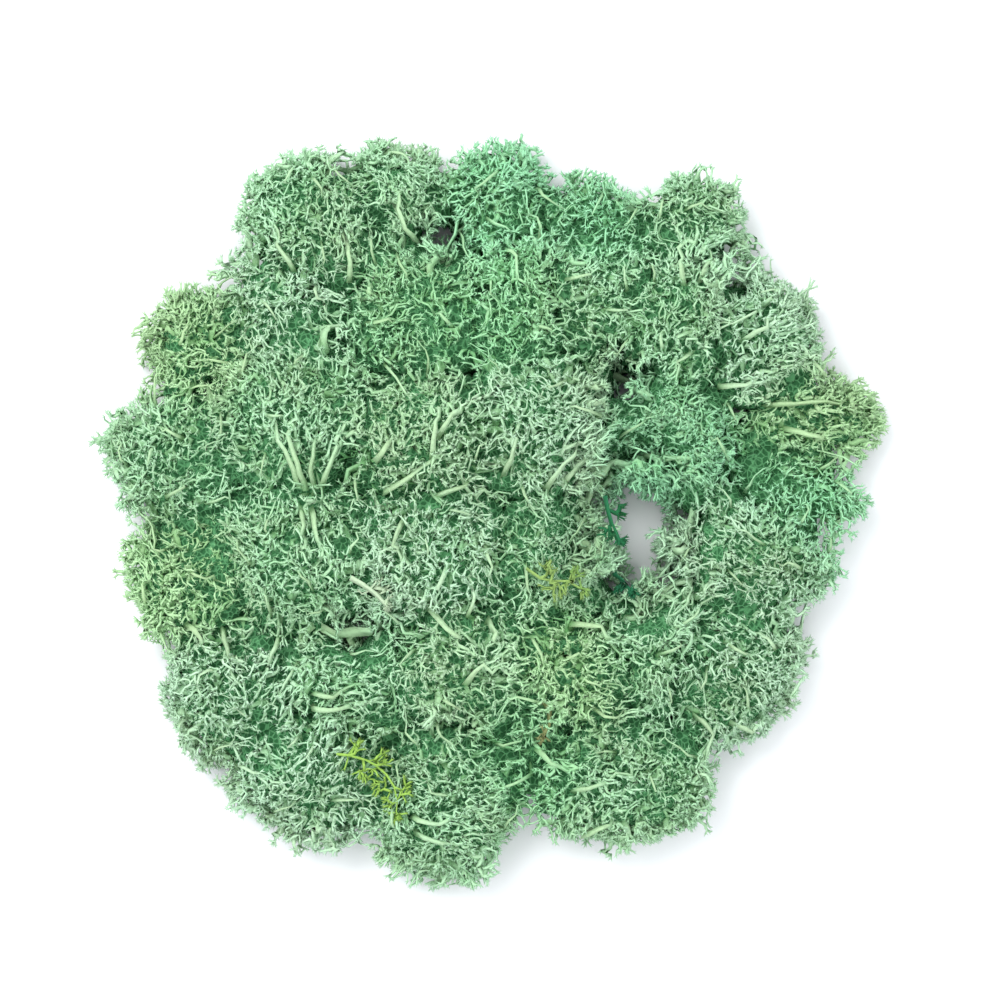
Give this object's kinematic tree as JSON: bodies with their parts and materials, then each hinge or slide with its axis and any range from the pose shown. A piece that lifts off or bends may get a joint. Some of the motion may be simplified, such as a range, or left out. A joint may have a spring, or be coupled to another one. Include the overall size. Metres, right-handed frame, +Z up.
{
  "type": "reindeer moss clump",
  "caption": "Loose clump of preserved reindeer moss, a round bed of pressed cushion tufts with finely forked branchlets, resting on its flattened underside.",
  "frame": {"origin": "centre of the clump's bounding box in plan, on the surface that it rests on", "axes": "+Z up and out of the bed, +X along its longest side, +Y towards the top of the picture"},
  "size_m": [0.1854, 0.1766, 0.0369],
  "materials": {
    "lichen_sage": "dry, matt, grey-green lichen with pale stems and greener tips",
    "lichen_mint": "dry, matt, blue-green dyed lichen",
    "lichen_pale": "dry, matt, pale sage lichen",
    "lichen_olive": "dry, matt, yellow-green lichen",
    "lichen_deep": "dry, matt, deep green lichen",
    "lichen_brown": "dry, matt, grey-brown lichen stems with green tips",
    "lichen_yellow": "dry, matt, bright yellow-green sprig",
    "lichen_teal": "dry, matt, dark teal dyed scrap"
  },
  "bodies": {
    "root": {"rim_tuft_upper_left": "lichen_sage", "rim_tuft_top_left": "lichen_sage", "rim_tuft_top_mint": "lichen_mint", "rim_tuft_top_small": "lichen_mint", "rim_tuft_top_right": "lichen_sage", "rim_tuft_right_upper": "lichen_pale", "rim_tuft_right_fan": "lichen_olive", "rim_tuft_right_mint": "lichen_mint", "rim_tuft_right_lower": "lichen_pale", "rim_tuft_lower_right": "lichen_pale", "rim_tuft_bottom_right": "lichen_sage", "rim_tuft_bottom": "lichen_sage", "rim_tuft_bottom_left": "lichen_pale", "rim_tuft_left_lower": "lichen_pale", "rim_tuft_left_olive": "lichen_olive", "rim_tuft_left": "lichen_sage", "rim_tuft_left_upper": "lichen_olive", "inner_tuft_upper_left": "lichen_pale", "inner_tuft_stem_fan": "lichen_sage", "inner_tuft_left": "lichen_sage", "inner_tuft_deep_green": "lichen_deep", "inner_tuft_top": "lichen_deep", "inner_tuft_upper_right": "lichen_sage", "inner_tuft_right": "lichen_sage", "inner_tuft_hole_side": "lichen_mint", "inner_tuft_lower_right": "lichen_sage", "inner_tuft_comb": "lichen_olive", "inner_tuft_antlers": "lichen_brown", "inner_tuft_lower_left": "lichen_sage", "inner_tuft_low_dark": "lichen_deep", "centre_tuft_brown_stems": "lichen_brown", "centre_tuft_pale_stems": "lichen_pale", "centre_tuft_webbed": "lichen_pale", "centre_tuft_scraps": "lichen_sage", "loose_sprig_yellow": "lichen_yellow", "loose_twig_brown": "lichen_brown", "loose_stem_pale": "lichen_pale", "loose_scrap_olive": "lichen_olive", "loose_scrap_teal": "lichen_teal", "loose_scrap_teal_small": "lichen_teal"}
  },
  "joints": []
}
